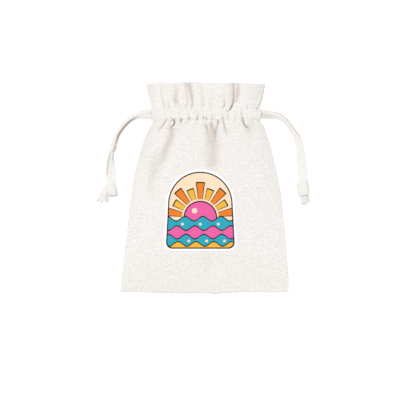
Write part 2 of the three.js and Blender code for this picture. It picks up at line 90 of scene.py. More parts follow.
# Creases of the front, each as a few stations (y, x, depth, half width) in millimetres. Their depth shapes
# the cloth and also sets the shade painted into it. The first ones run down the body from the lower stitch
# line, with one soft hollow below the print, and the others stand in the ruffle.
CREASES = [
    [(65.8, -37.2, 0.3, 0.9), (64, -37.6, 2.2, 0.9), (59.4, -40.6, 2.2, 1), (55.9, -42.9, 1.7, 1.1),
     (53.2, -44.6, 1.1, 1.3), (49.7, -46.8, 0, 1.8)],
    [(66.4, -33, 0.3, 1.3), (65.6, -31.9, 2, 1.4), (64.2, -30, 3.6, 1.2), (61.8, -29.4, 4.4, 1),
     (60, -30, 4.2, 1.1), (58.4, -31.3, 3.8, 1.3), (57.1, -33, 2.6, 1.7), (55.6, -32.2, 2, 3.8),
     (51, -31.8, 1.9, 4.2), (46, -33.6, 1.8, 4.6), (42, -35.4, 1.8, 4.8), (35.4, -37.8, 1.8, 5),
     (28, -40.2, 1.5, 5.2), (21.5, -42.2, 1.1, 5), (13, -44.5, 0.6, 5.5), (4, -44, 0, 5)],
    [(38, -46, 0.1, 4), (30, -48.5, 0.9, 4.5), (23, -50, 1.2, 5), (12, -51, 1.2, 5), (1, -52.3, 1, 5.5),
     (-12, -54, 0.4, 6), (-22, -55, 0, 6.5)],
    [(64.4, -32.9, 0, 0.8), (62.7, -32.9, 2.4, 0.8), (61, -33, 0.3, 0.8), (58.7, -34.4, 1, 1.3),
     (56.7, -35, 0, 1.3)],
    [(66.4, -22.9, 0.4, 0.9), (64.6, -23, 3.2, 1.2), (62.4, -23.6, 2.2, 1.2), (59.9, -24, 1.4, 1.2),
     (56.9, -24.5, 0, 1.4)],
    [(67.6, -15.6, 0.4, 0.9), (66, -15.5, 3, 0.9), (64.4, -15.5, 3, 0.9), (62.6, -16, 1, 1),
     (59.9, -17.5, 0.8, 1.1), (56.9, -19.4, 0, 1.6)],
    [(72.8, -8.2, 0.2, 1), (70.6, -8, 1.1, 1), (68.4, -7.6, 1, 0.9), (66.6, -7.6, 3.2, 0.9),
     (65, -7.8, 3.2, 0.9), (63.4, -8, 1, 0.9), (57.4, -8.6, 0.5, 1.6), (51.4, -9, 0, 2)],
    [(68, -2, 0.3, 0.9), (66.3, -1.8, 2.9, 0.9), (65, -1.6, 2.6, 0.9), (63.2, -1.7, 0, 0.9)],
    [(67.4, 0.6, 0, 0.8), (65.4, 0.9, 2.9, 0.8), (64.4, 0.9, 2.4, 0.8), (62.4, 0.4, 0.6, 0.9),
     (60.9, -0.3, 0.8, 1), (58.3, 0.7, 2.4, 1.4), (54.9, 1.8, 1.5, 1.8), (49.5, 2.1, 0.7, 1.9),
     (43.5, 2.2, 0.4, 2.4), (35, 2, 0, 3)],
    [(70.4, 6.3, 0.3, 0.9), (67.4, 6.6, 1.8, 0.9), (64.9, 6.8, 2.1, 1), (62.8, 6.3, 1, 1.1),
     (60.4, 5.5, 2.4, 1.5), (57.9, 6, 2.3, 2.8), (54.4, 6.9, 2.1, 4.2), (47.4, 7.2, 1.75, 6.4),
     (40.1, 7.2, 1.65, 8), (31, 7, 1.6, 8.5), (21.5, 6.4, 1.6, 8.5), (9, 5.4, 0, 9)],
    [(64.9, 11.2, 0, 0.9), (63.4, 11.7, 2.6, 0.9), (61.4, 12, 3.2, 0.9), (59.4, 11.6, 2.7, 0.9),
     (57.4, 10.8, 1.9, 1), (54.4, 9.8, 1.1, 1.4), (48, 9, 0.5, 1.8), (42, 8.7, 0.2, 2.2),
     (35, 8.5, 0, 2.6)],
    [(72.4, 16.6, 0.2, 0.8), (69.8, 16.3, 1.2, 0.8), (66.4, 16, 2.9, 0.8), (63.9, 16.6, 2.1, 0.8),
     (60.4, 17.4, 2.7, 0.8), (57.4, 18.2, 2.5, 0.8), (53.9, 19, 2.1, 1), (50.4, 20.2, 1.4, 1.1),
     (45.4, 21.8, 0, 1.6)],
    [(71.4, 21.4, 0.4, 1), (69, 21.5, 1.4, 1.1), (66, 21.6, 1.5, 1.1), (61.4, 21.9, 0.5, 1.2),
     (57.4, 22, 0, 1.4)],
    [(72.4, 28.5, 0.2, 1), (68, 28.4, 1.1, 1.1), (63.5, 28.4, 1.1, 1.1), (59.4, 28.2, 0, 1.3)],
    [(73.4, 33.9, 0.4, 0.8), (71.6, 34, 1.6, 0.9), (69, 34.4, 1.9, 0.9), (66.5, 34.9, 2.5, 0.9),
     (63.6, 35.5, 3.5, 1), (61.4, 36, 3.6, 1), (59.4, 37.2, 3.3, 1.1), (57.4, 38.9, 2.7, 1.4),
     (56, 40.4, 1, 1.6), (53.9, 43, 0, 2.4)],
    [(63.5, 43, 0, 4), (61, 43, 0.4, 4), (58, 42, 1.1, 5), (52, 41.5, 1.1, 6), (46, 42.5, 0.6, 7),
     (38, 44, 0, 8)],
    [(-57, 1, 0, 8), (-62, 2, 0.7, 9), (-70, 2, 0.95, 10), (-80, 2, 0.75, 10), (-91, 2, 0, 10)],
    [(67, 45.4, 0.2, 1.3), (64.2, 45.5, 1.6, 1.4), (61.6, 45.8, 0.7, 1.5), (58.6, 46.4, 0, 1.6)],
    [(65, 50, 0.5, 1), (63.9, 50.1, 2.8, 1), (62.8, 50.4, 1.5, 1), (61.7, 51, 0, 1)],
    [(98.4, -43.4, 0.7, 1.6), (92, -42.6, 0.8, 1.7), (86, -42, 1.2, 1.6), (80.4, -40.4, 1.3, 1.4),
     (76.4, -39.2, 1.5, 1.2), (73.4, -38.8, 0.7, 1.2), (70.4, -38.7, 1.1, 1.2), (67.4, -38.4, 1.1, 1.1),
     (65.4, -38, 0, 1)],
    [(82.4, -35.2, 0.2, 0.8), (78.4, -35.1, 1.6, 0.7), (75.4, -35, 1.9, 0.7), (73.7, -35, 0, 0.7)],
    [(99, -28.2, 0.4, 2.6), (93.5, -27.6, 1.3, 2.5), (88, -27.8, 1.7, 2.5), (84, -28.5, 1.8, 2.8),
     (79.4, -28.3, 1.6, 2.1), (75.9, -27.6, 0.9, 1.2), (73.9, -27.5, 0, 1.2)],
    [(83.4, -27.5, 0.3, 1.4), (79.4, -25.6, 1, 1.2), (76.9, -24.6, 1, 1), (73.4, -24.2, 1, 1),
     (69.4, -24, 1.3, 1), (66.4, -23.3, 0.6, 0.9)],
    [(101.1, -16.2, 2.1, 3), (96, -15, 2.1, 2.8), (91, -14, 2, 2.6), (85.7, -12.9, 2.2, 2.3),
     (80.4, -12.5, 1.9, 1.7), (77.8, -12.6, 2.3, 1), (75.6, -13.3, 2.1, 0.9), (73.9, -14.2, 0.7, 1),
     (70, -15.8, 1.2, 1.1), (67.5, -16, 1, 1), (66, -15.6, 0.3, 0.9)],
    [(100.5, -19.2, 1.2, 1.8), (90.2, -17.8, 1, 1.8), (81.4, -16.6, 1.5, 1.5), (76.7, -18, 1.8, 1.1),
     (74.4, -18.6, 0.7, 1), (72.9, -18.6, 0, 1)],
    [(99.5, -4.8, 0.7, 1.8), (88.7, -3.4, 1.1, 1.7), (82.4, -2.4, 1.3, 1.4), (77.4, -2, 1.3, 1),
     (73.4, -2.6, 1.1, 1.1), (69.4, -2.3, 0.8, 1), (67.2, -1.9, 0.2, 0.9)],
    [(90, 5.6, 0.3, 1.5), (84, 5.3, 1, 1.5), (78, 5.3, 1.2, 1.4), (73.1, 5.7, 0.9, 1.2), (70.6, 6, 0.3, 1)],
    [(92.4, 17.6, 0.2, 1.4), (85.7, 18, 1, 1.4), (82.4, 18.2, 1.5, 1.4), (79.9, 18.4, 1.6, 1.3),
     (78.1, 18.4, 2.4, 0.8), (76.4, 17.4, 2.1, 0.9), (75, 16.6, 1.8, 0.9), (73.9, 15.8, 0.8, 0.9),
     (72.2, 14.6, 0, 0.9)],
    [(101, 26.6, 1.5, 1.6), (93.9, 26.6, 1.5, 1.6), (87.4, 26.6, 1.8, 1.6), (81.4, 26.2, 2.5, 1.4),
     (78.4, 25.3, 3.6, 1.2), (75.9, 24.2, 4.4, 1.2), (74, 23.1, 4.2, 1.1), (72.4, 20.9, 2.6, 1.5),
     (71.4, 19.2, 0, 1.5)],
    [(101, 24, 0.9, 3), (95, 24, 1, 3), (88, 24, 1, 2.8), (82, 23, 1, 2.4), (78, 21, 0.8, 2),
     (75, 19, 0, 1.6)],
    [(101.1, 30.8, 1.2, 2.4), (95, 30.8, 2.1, 2.5), (88, 30.2, 2.1, 2.4), (83, 29.2, 1.8, 2),
     (78.5, 27.5, 0, 1.6)],
    [(78.4, 40.8, 0.4, 0.8), (76.7, 40.2, 1, 0.8), (75, 39.8, 2.3, 0.8), (73.4, 39.5, 0, 0.8)],
    [(76.6, 49.2, 0.5, 1), (75.6, 49, 3, 1), (74.6, 48.9, 2.8, 1), (73.6, 48.8, 0, 0.9)],
    [(98.9, 55.6, 0.9, 0.9), (90, 54.7, 1.6, 0.9), (85.9, 53.8, 1.9, 0.9), (81.4, 52.3, 1.9, 0.9),
     (79.6, 51.7, 1.7, 0.9), (78, 51, 3.2, 1), (76.9, 50.6, 0.5, 0.9)],
]
# Half widths from which a crease is a soft hollow and down to which it closes to a tight fold
HOLLOW_WIDTH = 2.4
TIGHT_WIDTH = 1.0
# How much deeper a crease is laid than its stations say, and the depth that crossing creases can't pass
CREASE_RELIEF = 1.6
DEEPEST_CREASE = 5.4
# Shade painted into the cloth's colour: the most in a crease and the depth that brings two thirds of it,
# then the most and the height that it reaches where the cloth rolls under at the bottom seam and, softly,
# over the lower body
FOLD_SHADE = 0.95
FOLD_SHADE_DEPTH = 2.2
SEAM_SHADE = 0.15
SEAM_ROLL = 0.9
FOOT_SHADE = 0.045
FOOT_REACH = 32.0

# How far the rim stands above or below its straight line, by place across
FRONT_RIM = [(-57, -1.2), (-52, -0.3), (-46, 0.6), (-41, 0.9), (-38, 0.5), (-35.5, -0.9), (-32, -0.8),
             (-29, 0), (-24, 0.8), (-20.5, 0.8), (-17.5, 0), (-12, 0.7), (-7, 0.6), (-3.5, -0.1), (5, 0),
             (11, -0.5), (16, -0.8), (21, -0.1), (25, 0.5), (28, 0), (33, -0.3), (42, -0.5), (47, -0.9),
             (57, -1.1)]
BACK_RIM = [(-56, -0.4), (-30, 0.4), (0, 0.3), (30, 0.2), (56, -0.4)]
# How far the bottom seam stands above its straight line, by place across, and how far up that is felt
BOTTOM_LINE = [(-80, 0.6), (-68, 0.4), (-62, 0.5), (-45, -0.1), (-10, -0.2), (5, -0.8), (11, -1),
               (18, -0.4), (24, 0), (30, 0.3), (55, 0.6), (60, 0.1), (70, 0.3), (76, 0.7), (80.5, 1.2)]
BOTTOM_REACH = 14.0
# How far each side edge stands out from the even outline, by height: the tunnel bulges between its stitches
LEFT_EDGE = [(-100, 1), (-84, 0.9), (-70, 0.5), (-40, -0.5), (0, -0.4), (20, -0.7), (45.8, -1.1),
             (57.2, -1.9), (61, -2.4), (63.3, -2.5), (65.8, -1.2), (69, -0.5), (75, -0.2), (77, -0.7),
             (80, 0)]
RIGHT_EDGE = [(-100, -1.1), (-98, -0.8), (-95, -0.6), (-90, -0.1), (-84, 0.4), (-40, 0.5), (-10, 0.6),
              (15, 0), (35, 0), (45.8, 0.6), (57.2, 1), (61.5, 0.3), (63.7, -0.8), (65.5, 0.4), (68, 1.1),
              (71.5, 1.1), (74.5, 0), (76.5, -1), (79, 0), (82, 0.8), (100, 0.7)]


def half_width(y):
    """Half the pouch's width: half of its taper is even, the other half comes close under the neck."""
    t = np.clip((y - BOTTOM_Y) / (LOWER_STITCH_Y - BOTTOM_Y), 0, 1)
    body = HALF_BOTTOM - (HALF_BOTTOM - HALF_NECK) * (0.5 * t + 0.5 * t**5)
    flare = np.clip((y - UPPER_STITCH_Y) / (RIM_Y - UPPER_STITCH_Y), 0, 1.1)
    return body + (HALF_RIM - HALF_NECK) * flare


def creases_at(x, y):
    """Depth of the creases at each point, and how deep each point lies within their narrow core, which sets
    the shade painted there. The cloth falls steeply into a crease and more softly from further off, and a
    tight fold has a narrower core than a hollow."""
    depth = np.zeros(np.broadcast(x, y).shape)
    core = np.zeros(depth.shape)
    for stations in CREASES:
        ys, xs, depths, widths = np.array(sorted(stations)).T
        at_rim = depths[-1] if ys[-1] > RIM_Y - 2 else 0
        here = np.interp(y, ys, depths, left=0, right=at_rim)
        width = np.interp(y, ys, widths)
        across = (x - np.interp(y, ys, xs)) / width
        tight = np.clip((HOLLOW_WIDTH - width) / (HOLLOW_WIDTH - TIGHT_WIDTH), 0, 1)
        core += here * np.exp(-((across / (1 - 0.34 * tight)) ** 2)) * (0.8 + 0.2 * tight)
        fall = 0.65 * np.exp(-(across**2)) + 0.35 / (1 + (across / 2.6) ** 2) ** 2
        depth += CREASE_RELIEF * here * fall
    return DEEPEST_CREASE * np.tanh(depth / DEEPEST_CREASE), core


def painted_shade(x, y, along):
    """Share of the deep-fold colour, a painted shade: the cloth's colour is darkened inside a crease where
    little light gets in, a little towards the bottom and more where the cloth rolls under at its seam. along
    is the flat cloth's measure up from there."""
    creased = FOLD_SHADE * (1 - np.exp(-((creases_at(x, y)[1] / FOLD_SHADE_DEPTH) ** 2)))
    at_seam = SEAM_SHADE * np.exp(-((along / SEAM_ROLL) ** 2))
    at_foot = FOOT_SHADE * np.exp(-((along / FOOT_REACH) ** 2))
    return np.maximum(creased, at_seam + at_foot)


def ease(share):
    """A soft step from 0 to 1."""
    share = np.clip(share, 0, 1)
    return share**2 * (3 - 2 * share)


def casing_share(y):
    """1 over the tunnel, 0 away from it, with a soft step at each stitch line."""
    past_stitches = 0.8
    step = 3.4
    return ease((CASING_HEIGHT / 2 + past_stitches - np.abs(y - CASING_Y)) / step)


def arch(u, y):
    """Height of the gathered front's inner side: it meets the back at the edges and arches over the inside.
    u is the place across, from -1 at the left edge to 1 at the right one."""
    below = np.maximum(LOWER_STITCH_Y - y, 0)
    beyond = np.maximum(below, np.maximum(y - UPPER_STITCH_Y, 0))
    edge = SEAM_Z + (CASING_END_Z - SEAM_Z) * np.exp(-((beyond / CASING_HOLD) ** 2))
    crest = SEAM_Z + (NECK_CREST_Z - SEAM_Z) * (1 - (below / (LOWER_STITCH_Y - BOTTOM_Y)) ** 1.9)
    return edge + (np.maximum(crest, edge) - edge) * (1 - np.abs(u) ** 5)


def gather_rise(y):
    """Height of the folds' ridges over the inner side."""
    below = np.maximum(FADE_START_Y - y, 0)
    ridges = GATHER * np.exp(-(below**2) / (below + FADE_SOFTNESS) / FADE_LENGTH)
    return CLOTH + ridges - RUFFLE_DROP * np.clip((y - UPPER_STITCH_Y) / RUFFLE_DROP_LENGTH, 0, 1)


def stitch_dip(y):
    """Depth to which the two stitch lines pull the cloth in."""
    upper = np.exp(-(((y - UPPER_STITCH_Y) / STITCH_PULL) ** 2))
    lower = np.exp(-(((y - LOWER_STITCH_Y) / STITCH_PULL) ** 2))
    return STITCH_DIP * (upper + lower)


def ripple(x, y, size, seed):
    """A few crossed waves of different lengths around size."""
    total = 0
    for k in range(5):
        angle = 1.9 * k + seed
        length = size * (0.7 + 0.17 * k)
        place = x * math.cos(angle) + y * math.sin(angle)
        total = total + np.sin(place * 2 * math.pi / length + 2.3 * k + seed)
    return total / 5


def front_top(x, y):
    """Height of the front's outer face."""
    u = np.clip(x / half_width(y), -1, 1)
    side = 1 - u**8
    tunnel = casing_share(y)
    hold_margin = 2
    hold_fade = 6
    off_tunnel = np.maximum(np.abs(y - CASING_Y) - CASING_HEIGHT / 2 + hold_margin, 0)
    held = np.exp(-((off_tunnel / hold_fade) ** 2))
    creases = creases_at(x, y)[0]
    creases = creases + (np.minimum(CASING_CREASE_SHARE * creases, CASING_CREASE) - creases) * tunnel
    ridges = EDGE_RIDGES + HELD_RIDGES * held + (1 - EDGE_RIDGES - HELD_RIDGES * held) * side
    rise = gather_rise(y) * ridges + CASING_SWELL * tunnel - stitch_dip(y)
    loose = sum(height * side * ripple(x, y, size, seed) for size, height, seed in RIPPLES)
    return arch(u, y) + rise - creases * side + loose


def back_bottom(x, y):
    """Height of the back's outer face, which lies on the table and is creased up from below."""
    u = np.clip(x / half_width(y), -1, 1)
    return BACK_CREASES * creases_at(-x, y)[0] * (1 - u**8) * (1 - BACK_CASING_LOSS * casing_share(y))


def graded(stops):
    """Places from stop to stop: [(start, spacing), ..., (end, None)]."""
    places = []
    for (a, step), (b, _) in zip(stops, stops[1:]):
        n = max(1, round(abs(b - a) / step))
        places += [a + (b - a) * k / n for k in range(n)]
    return np.array(places + [stops[-1][0]])


def cloth_grid(outer_height, inward, rim_line, columns):
    """Points of a panel's middle surface, row by row from the bottom seam up the outside, over the rim and
    down the folded facing to the lower stitch line. inward is -1 for the front and 1 for the back. Columns
    stand a little closer at the sides, and rows where the folds are tight."""
    u = np.linspace(-1, 1, columns + 1)
    u = np.sign(u) * np.abs(u) ** 0.96
    outside = graded([(BOTTOM_Y, 0.8), (BOTTOM_Y + 4, 2.4), (0, 1.6), (45, 0.75), (LOWER_STITCH_Y - 2, 0.5),
                      (UPPER_STITCH_Y + 2, 0.7), (RIM_Y - RIM_FOLD, None)])
    facing = graded([(RIM_Y - RIM_FOLD, 1.8), (UPPER_STITCH_Y + 2, 1.2), (LOWER_STITCH_Y - 1.5, None)])
    rim_shift = np.interp(u * half_width(RIM_Y), *np.array(rim_line).T)
    bottom_shift = np.interp(u * HALF_BOTTOM, *np.array(BOTTOM_LINE).T)

    def row(y, depth):
        """One row at a height up the pouch, depth below the outer layer."""
        lift = np.clip((y - UPPER_STITCH_Y) / (RIM_Y - UPPER_STITCH_Y), 0, 1) ** 2
        drop = np.clip(1 - (y - BOTTOM_Y) / BOTTOM_REACH, 0, 1) ** 2
        shifted = y + rim_shift * lift + bottom_shift * drop
        x = u * half_width(y)
        z = outer_height(x, np.full_like(x, y)) + inward * (CLOTH / 2 + depth)
        edge = np.where(u < 0, -np.interp(y, *np.array(LEFT_EDGE).T), np.interp(y, *np.array(RIGHT_EDGE).T))
        return np.stack([x + edge * u**6, shifted, z], axis=1)

    rows = [row(y, 0) for y in outside]
    flats = [y - BOTTOM_Y for y in outside]
    fold = RIM_FOLD / 2
    for k in range(1, 4):
        angle = math.pi * k / 4
        over = row(RIM_Y - RIM_FOLD, fold * (1 - math.cos(angle)))
        over[:, 1] += fold * math.sin(angle)
        rows.append(over)
        flats.append(POUCH_LENGTH + fold * angle)
    for y in facing:
        rows.append(row(y, RIM_FOLD + casing_share(y) * TUNNEL_ROOM))
        flats.append(2 * POUCH_LENGTH - (y - BOTTOM_Y))
    return np.array(rows), u * HALF_BOTTOM, np.array(flats)


def sheet_piece(name, grid, across, along, thickness, shade):
    """A closed sheet around a grid of points, with the flat cloth's own measures as its UV map and the shade
    painted into its folds as an attribute."""
    rows, columns = grid.shape[:2]
    normal = np.cross(np.gradient(grid, axis=1), np.gradient(grid, axis=0))
    normal /= np.maximum(np.linalg.norm(normal, axis=2, keepdims=True), 1e-9)
    outside = (grid + normal * thickness / 2).reshape(-1, 3)
    inside = (grid - normal * thickness / 2).reshape(-1, 3)
    count = rows * columns
    index = np.arange(count).reshape(rows, columns)
    a, b, c, d = index[:-1, :-1], index[:-1, 1:], index[1:, 1:], index[1:, :-1]
    border = np.concatenate([index[0], index[1:, -1], index[-1, -2::-1], index[-2:0:-1, 0]])
    following = np.roll(border, -1)
    faces = np.concatenate([
        np.stack([a, b, c, d], axis=-1).reshape(-1, 4),
        np.stack([d, c, b, a], axis=-1).reshape(-1, 4) + count,
        np.stack([following, border, border + count, following + count], axis=-1),
    ])
    mesh = bpy.data.meshes.new(name)
    mesh.from_pydata((np.concatenate([outside, inside]) * MM).tolist(), [], faces.tolist())
    smooth = np.ones(len(mesh.polygons), bool)
    smooth[-len(border):] = False
    mesh.polygons.foreach_set("use_smooth", smooth)
    flat = np.stack(np.broadcast_arrays(across[None, :], along[:, None]), axis=-1).reshape(-1, 2) * MM
    flat = np.concatenate([flat, flat])
    corners = np.zeros(len(mesh.loops), int)
    mesh.loops.foreach_get("vertex_index", corners)
    mesh.uv_layers.new(name="flat_cloth").data.foreach_set("uv", flat[corners].ravel())
    mesh.attributes.new("painted_shade", "FLOAT", "POINT").data.foreach_set("value", np.tile(shade.ravel(), 2))
    piece = bpy.data.objects.new(name, mesh)
    bpy.context.collection.objects.link(piece)
    return piece


def linear(hex_colour):
    """Linear colour of an sRGB hex value."""
    parts = [int(hex_colour[i : i + 2], 16) / 255 for i in (1, 3, 5)]
    return (*[c / 12.92 if c <= 0.04045 else ((c + 0.055) / 1.055) ** 2.4 for c in parts], 1)


def add_node(material, kind, sockets=None, **settings):
    """Adds a node with its settings, and links each socket to an output or sets it to a value."""
    tree = material.node_tree
    node = tree.nodes.new(kind)
    for key, value in settings.items():
        setattr(node, key, value)
    for socket, source in (sockets or {}).items():
        if hasattr(source, "is_linked"):
            tree.links.new(source, node.inputs[socket])
        else:
            node.inputs[socket].default_value = source
    return node


# Colours of the shade painted into the cloth's folds, from a shallow fold to a deep one
SHALLOW_PAINTED_SHADE = "#B8A084"
DEEP_PAINTED_SHADE = "#6E5A4C"


def woven_cloth(name, colour, shade, thread, slub, bump):
    """Plain-woven matt yarn: over-and-under threads, with slubs where the uneven yarn thickens, and shade
    painted into its colour in the folds. thread is the spacing of the threads and slub the width of a slub,
    in mm."""
    material = bpy.data.materials.new(name)
    material.use_nodes = True
    shader = material.node_tree.nodes["Principled BSDF"]
    flat = add_node(material, "ShaderNodeUVMap", uv_map="flat_cloth").outputs["UV"]

    # The weave: a bump where a warp thread passes over a weft thread
    turn = math.pi / (thread * MM)
    split = add_node(material, "ShaderNodeSeparateXYZ", {0: flat})
    warp = add_node(material, "ShaderNodeMath", {0: split.outputs[0], 1: turn}, operation="MULTIPLY")
    weft = add_node(material, "ShaderNodeMath", {0: split.outputs[1], 1: turn}, operation="MULTIPLY")
    over = add_node(material, "ShaderNodeMath", {0: warp.outputs[0]}, operation="SINE").outputs[0]
    under = add_node(material, "ShaderNodeMath", {0: weft.outputs[0]}, operation="SINE").outputs[0]
    weave = add_node(material, "ShaderNodeMath", {0: over, 1: under}, operation="MULTIPLY")

    # The yarn: short thick places, and slubs nine times as long as wide along both sets of threads
    unevenness = []
    wide = 1 / (slub * MM)
    scales = [(0.72 * wide, 0.72 * wide, 1), (wide / 9, wide, 1), (wide, wide / 9, 1)]
    for scale, detail in zip(scales, (0, 1, 1)):
        place = add_node(material, "ShaderNodeMapping", {0: flat, "Scale": scale}).outputs[0]
        noise = add_node(material, "ShaderNodeTexNoise", {"Vector": place, "Scale": 1.0, "Detail": detail})
        unevenness.append(noise.outputs[0])
    yarn, weft_slub, warp_slub = unevenness
    slubs = add_node(material, "ShaderNodeMath", {0: weft_slub, 1: warp_slub}, operation="ADD").outputs[0]
    thickness = add_node(material, "ShaderNodeMath", {0: yarn, 1: 1.6, 2: slubs}, operation="MULTIPLY_ADD")
    uneven = thickness.outputs[0]

    # Colour: thick yarn is lighter, and the shade painted into the folds goes through a warm beige to a
    # dark brown
    tint = add_node(material, "ShaderNodeMapRange", {0: uneven, 1: 1.24, 2: 2.36, 3: 0.0, 4: 1.0}).outputs[0]
    cloth = add_node(material, "ShaderNodeMix", {0: tint, 6: linear(shade), 7: linear(colour)},
                     data_type="RGBA")
    # Painted shade of the folds, read from the mesh attribute, mixes the colour towards the fold colours
    depth = add_node(material, "ShaderNodeAttribute", attribute_name="painted_shade").outputs["Fac"]
    fold = add_node(material, "ShaderNodeMix", {0: depth, 6: linear(SHALLOW_PAINTED_SHADE), 7: linear(DEEP_PAINTED_SHADE)},
                    data_type="RGBA")
    folded = add_node(material, "ShaderNodeMix", {0: depth, 6: cloth.outputs[2], 7: fold.outputs[2]},
                      data_type="RGBA")
    height = add_node(material, "ShaderNodeMath", {0: weave.outputs[0], 1: 0.12, 2: uneven},
                      operation="MULTIPLY_ADD")
    relief = add_node(material, "ShaderNodeBump",
                      {"Height": height.outputs[0], "Strength": bump, "Distance": 0.4 * MM})
    material.node_tree.links.new(folded.outputs[2], shader.inputs["Base Color"])
    material.node_tree.links.new(relief.outputs[0], shader.inputs["Normal"])
    shader.inputs["Roughness"].default_value = 0.92
    shader.inputs["Specular IOR Level"].default_value = 0.2
    shader.inputs["Sheen Weight"].default_value = 0.08
    shader.inputs["Sheen Roughness"].default_value = 0.5
    return material


# Natural cotton-linen in plain weave: matt and off-white, with the faint uneven grid of its slubs. The real
# threads are too fine to show in the render, so they are drawn coarser.
cotton_linen = woven_cloth("cotton_linen_plain_weave", "#FAF7F4", "#EAE6E2", thread=0.7, slub=1.4, bump=0.3)

front_grid, front_across, front_along = cloth_grid(front_top, -1, FRONT_RIM, 200)
# Shade painted into the front's creases and towards its bottom seam, kept as a mesh attribute
front_shade = painted_shade(front_grid[:, :, 0], front_grid[:, :, 1], front_along[:, None])
front_cloth = sheet_piece("front_cloth", front_grid, front_across, front_along, CLOTH, front_shade)
front_cloth.data.materials.append(cotton_linen)
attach(front_cloth, "root")
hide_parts("front_panel")

# The back is made like the front and turned over, so its columns run the other way
back_grid, back_across, back_along = cloth_grid(back_bottom, 1, BACK_RIM, 120)
back_grid = back_grid[:, ::-1]
# The same painted shade for the back
back_shade = painted_shade(-back_grid[:, :, 0], back_grid[:, :, 1], back_along[:, None])
back_cloth = sheet_piece("back_cloth", back_grid, back_across[::-1], back_along, CLOTH, back_shade)
back_cloth.data.materials.append(cotton_linen)
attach(back_cloth, "root")
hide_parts("back_panel")

# Drawstrings: two flat cotton tapes. Each runs through both tunnels, turns at the far side and comes out
# with both ends on its own side, where the two strands lie on each other over the table down to their knot.
TAPE_WIDTH = 4.2
TAPE_THICKNESS = 1.0
# In the tunnels: how far apart the two tapes lie, the height of a tape over the front's inner side and, in
# the back, over the table, how far before the far end of the neck it turns, and how far out its bend starts
# and reaches
LANE = 4.5
FRONT_TAPE_Z = 1.9
BACK_TAPE_Z = 2.7
TURN_INSET = 9.0
TURN_START = 0.5
TURN_REACH = 3.0
# The loose strands: how far inside the tunnels they start, their gap there to the stretch that the tunnels
# hold, where they leave their lane, where they have come together and how far above the tunnels' middle,
# and how far into the knot they run
STRAND_START = 16.0
STRAND_GAP = 0.4
LANE_END = 10.0
PAIR_START = 3.0
PAIR_RISE = 0.4
INTO_KNOT = 6.0
# Along the way in millimetres, from where and over what length the strands come together in height, and the
# pair comes down to the table; and, as a share of the way, from where it rises to the knot
JOIN_START = 3.0
JOIN_LENGTH = 11.0
DESCENT_START = 12.0
DESCENT_LENGTH = 22.0
RISE_START = 0.84
# How much wider the tapes lie open towards the knot, and from which share of the way over which share
OPENING = 0.28
OPENING_START = 0.62
OPENING_LENGTH = 0.2
# How far each strand lies off the pair's middle, as a share of the tape's thickness, how much less where
# the two lie side by side, and from which shift over which length they settle so
STACKED = 0.52
SETTLING = 0.3
SETTLING_START = 0.8
SETTLING_LENGTH = 0.9
# Height of the pair as it leaves the tunnels, as a share of that from the back tape to the front one, and
# how much less it is inside
MOUTH_SHARE = 0.9
MOUTH_DROP = 0.4
TABLE_CLEARANCE = 0.25
KNOT_Z = 4.6
# Way of each pair of strands over the table, from the side of the neck, midway up the tunnels, to its knot
ROUTES = {
    "left": [(-6.7, -0.5), (-13.3, -1.6), (-19.4, -4.6), (-25, -9.5), (-29.4, -15), (-32.9, -20.8),
             (-34.8, -26), (-36.2, -31), (-37.8, -35.4), (-38.5, -40), (-38.7, -46), (-38.7, -52.8),
             (-38.4, -58.8), (-37.9, -62.8)],
    "right": [(6, 0), (11.6, -0.7), (16.3, -1.5), (20.7, -3.5), (25.1, -7.2), (28.7, -11.8), (32.2, -17.4),
              (35.2, -22.9), (37.1, -28.5), (38.3, -34.1), (39.1, -39.6), (39.8, -45.9), (40.5, -52.2),
              (41.1, -58), (41.7, -63)],
}
# The lists that follow say how each pair lies, by share of the way from inside the tunnels to the knot.
# First, how far its strands are shifted apart sideways, to each side of the pair's middle
SHIFTS = {
    "left": [(0, 2.2), (0.17, 2.2), (0.23, 1.8), (0.29, 1), (0.36, 0.7), (0.5, 0.7), (0.58, 0.7),
             (0.65, 1.2), (0.71, 0.9), (0.76, 1.3), (0.81, 1.8), (0.885, 2.3), (0.925, 2), (0.955, 1.5),
             (1, 0.8)],
    "right": [(0, 1.9), (0.2, 1.9), (0.28, 1.5), (0.36, 1.0), (0.52, 1.0), (0.6, 1.5), (0.7, 1.7),
              (0.8, 1.9), (0.9, 2), (0.96, 1.7), (1, 1.1)],
}
# How far the pair lies outward of its way
DRIFTS = {
    "left": [(0, 0), (0.16, 0.2), (0.24, 0.6), (0.5, 0.6), (0.6, 0.1), (1, 0)],
    "right": [(0, 0), (0.16, 0.2), (0.28, 0.2), (0.36, 0.3), (0.48, 0.4), (0.54, 0.7), (0.62, 0.8),
              (0.7, 0.5), (0.95, 0.5), (1, 0.2)],
}
# How far the pair rolls over, in degrees
ROLLS = {
    "left": [(0, 0), (0.24, 2), (0.3, 14), (0.36, 26), (0.45, 31), (0.57, 30), (0.62, 20), (0.66, 4),
             (0.71, -36), (0.76, -24), (0.83, -12), (0.92, -8), (1, 0)],
    "right": [(0, 0), (0.28, 4), (0.36, 18), (0.5, 20), (0.56, 15), (0.64, 6), (0.8, 2), (1, 0)],
}
# How dark the shade painted along the edge of the upper strand is, where the closed slit between the
# strands lies
SLIT_SHADES = {
    "left": [(0, 0), (0.25, 0), (0.31, 0.48), (0.36, 0.66), (0.55, 0.66), (0.59, 0.5), (0.617, 0.4),
             (0.645, 0.62), (0.675, 0.62), (0.7, 0.35), (0.74, 0.6), (0.88, 0.5), (0.92, 0), (1, 0)],
    "right": [(0, 0.5), (0.17, 0.5), (0.2, 0.05), (0.26, 0.12), (0.34, 0.42), (0.52, 0.5), (0.59, 0.4),
              (0.65, 0.06), (1, 0.03)],
}
